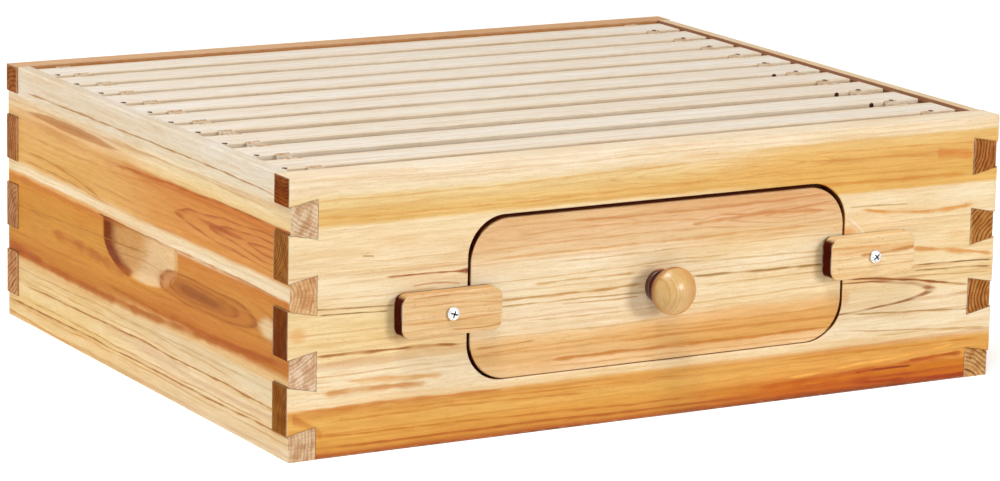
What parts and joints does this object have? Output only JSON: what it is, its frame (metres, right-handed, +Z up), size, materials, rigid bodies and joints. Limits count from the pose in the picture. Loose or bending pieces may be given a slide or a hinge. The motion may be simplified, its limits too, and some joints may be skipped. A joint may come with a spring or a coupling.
{
  "type": "langstroth beehive super",
  "caption": "Wooden medium super of a Langstroth beehive: a dovetailed box of hanging frames, with a knobbed hatch held by turn buttons over a clear pane.",
  "frame": {"origin": "middle of the footprint, knob included, on the surface that the bottom rim rests on", "axes": "+X along the long front from left to right, +Y from the hatch to the back, +Z up"},
  "size_m": [0.505, 0.4388, 0.17],
  "materials": {
    "front_board": "oiled fir boards, sanded",
    "back_board": "oiled fir boards, sanded",
    "end_board": "oiled fir boards, sanded",
    "hatch_wood": "oiled fir, eased edges",
    "button_wood": "sanded beech",
    "knob_wood": "turned and varnished",
    "frame_wood": "bare pale pine",
    "wax_sheet": "beeswax over a pressed sheet",
    "clear_pane": "clear acrylic",
    "bright_screw": "bright zinc plating"
  },
  "bodies": {
    "root": {"front_panel": "front_board", "back_panel": "back_board", "left_end_wall": "end_board", "right_end_wall": "end_board", "viewing_pane": "clear_pane", "pane_screws": "bright_screw", "toggle_screws": "bright_screw"},
    "hatch": {"hatch_board": "hatch_wood", "hatch_knob": "knob_wood", "knob_screw": "bright_screw"},
    "left_button": {"toggle_left": "button_wood"},
    "right_button": {"toggle_right": "button_wood"},
    "frame_01": {"top_bar_01": "frame_wood", "end_bars_01": "frame_wood", "bottom_bar_01": "frame_wood", "foundation_01": "wax_sheet"},
    "frame_02": {"top_bar_02": "frame_wood", "end_bars_02": "frame_wood", "bottom_bar_02": "frame_wood", "foundation_02": "wax_sheet"},
    "frame_03": {"top_bar_03": "frame_wood", "end_bars_03": "frame_wood", "bottom_bar_03": "frame_wood", "foundation_03": "wax_sheet"},
    "frame_04": {"top_bar_04": "frame_wood", "end_bars_04": "frame_wood", "bottom_bar_04": "frame_wood", "foundation_04": "wax_sheet"},
    "frame_05": {"top_bar_05": "frame_wood", "end_bars_05": "frame_wood", "bottom_bar_05": "frame_wood", "foundation_05": "wax_sheet"},
    "frame_06": {"top_bar_06": "frame_wood", "end_bars_06": "frame_wood", "bottom_bar_06": "frame_wood", "foundation_06": "wax_sheet"},
    "frame_07": {"top_bar_07": "frame_wood", "end_bars_07": "frame_wood", "bottom_bar_07": "frame_wood", "foundation_07": "wax_sheet"},
    "frame_08": {"top_bar_08": "frame_wood", "end_bars_08": "frame_wood", "bottom_bar_08": "frame_wood", "foundation_08": "wax_sheet"},
    "frame_09": {"top_bar_09": "frame_wood", "end_bars_09": "frame_wood", "bottom_bar_09": "frame_wood", "foundation_09": "wax_sheet"},
    "frame_10": {"top_bar_10": "frame_wood", "end_bars_10": "frame_wood", "bottom_bar_10": "frame_wood", "foundation_10": "wax_sheet"}
  },
  "joints": [
    {"name": "left_button_turn", "type": "hinge", "parent": "root", "child": "left_button", "pos_m": [-0.1486, -0.1989, 0.0823], "axis": [0, -1, 0], "continuous": true},
    {"name": "right_button_turn", "type": "hinge", "parent": "root", "child": "right_button", "pos_m": [0.1529, -0.1989, 0.0892], "axis": [0, -1, 0], "continuous": true},
    {"name": "hatch_play", "type": "slide", "parent": "root", "child": "hatch", "axis": [0, -1, 0], "range_m": [0, 0.0011]},
    {"name": "frame_01_lift", "type": "slide", "parent": "root", "child": "frame_01", "axis": [0, 0, 1], "range_m": [0, 0.165]},
    {"name": "frame_02_lift", "type": "slide", "parent": "root", "child": "frame_02", "axis": [0, 0, 1], "range_m": [0, 0.165]},
    {"name": "frame_03_lift", "type": "slide", "parent": "root", "child": "frame_03", "axis": [0, 0, 1], "range_m": [0, 0.165]},
    {"name": "frame_04_lift", "type": "slide", "parent": "root", "child": "frame_04", "axis": [0, 0, 1], "range_m": [0, 0.165]},
    {"name": "frame_05_lift", "type": "slide", "parent": "root", "child": "frame_05", "axis": [0, 0, 1], "range_m": [0, 0.165]},
    {"name": "frame_06_lift", "type": "slide", "parent": "root", "child": "frame_06", "axis": [0, 0, 1], "range_m": [0, 0.165]},
    {"name": "frame_07_lift", "type": "slide", "parent": "root", "child": "frame_07", "axis": [0, 0, 1], "range_m": [0, 0.165]},
    {"name": "frame_08_lift", "type": "slide", "parent": "root", "child": "frame_08", "axis": [0, 0, 1], "range_m": [0, 0.165]},
    {"name": "frame_09_lift", "type": "slide", "parent": "root", "child": "frame_09", "axis": [0, 0, 1], "range_m": [0, 0.165]},
    {"name": "frame_10_lift", "type": "slide", "parent": "root", "child": "frame_10", "axis": [0, 0, 1], "range_m": [0, 0.165]}
  ]
}
